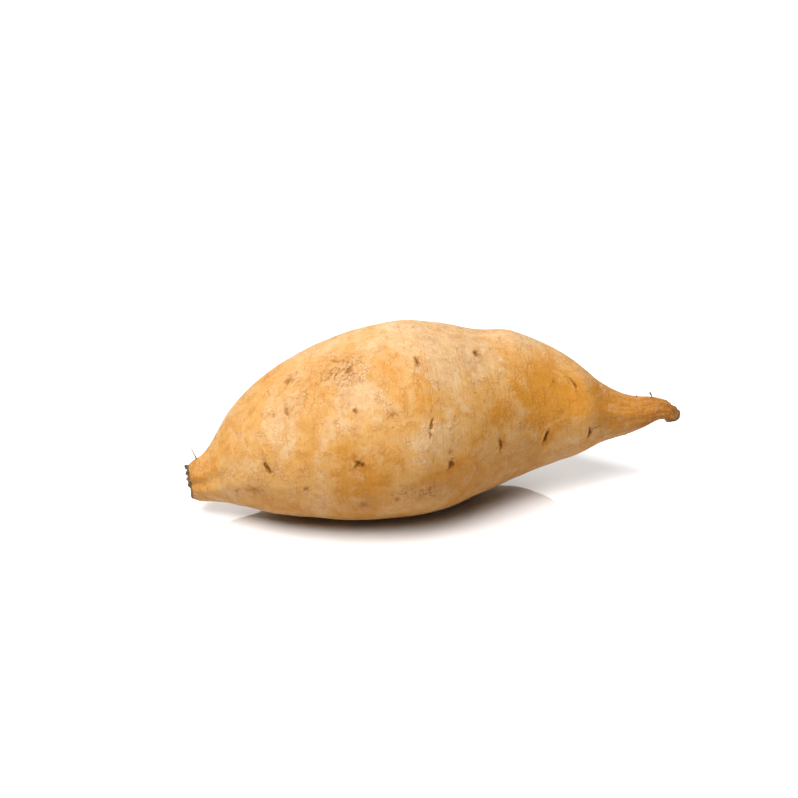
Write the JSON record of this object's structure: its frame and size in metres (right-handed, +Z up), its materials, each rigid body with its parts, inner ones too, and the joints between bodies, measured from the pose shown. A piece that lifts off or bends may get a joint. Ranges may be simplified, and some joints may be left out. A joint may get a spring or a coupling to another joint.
{
  "type": "sweet potato",
  "caption": "Whole raw sweet potato with tan skin, a dried stem cut at one end and a tapering root tail at the other, lying on its side.",
  "frame": {"origin": "middle of the underside of the root's box, at the height of the table that it lies on", "axes": "+X along the root from the dried stem cut towards the root tail, +Z up from the table, the belly bows towards -Y"},
  "size_m": [0.1714, 0.0728, 0.0653],
  "materials": {
    "skin": "satin"
  },
  "bodies": {
    "root": {"sweet_potato": "skin"}
  },
  "joints": []
}
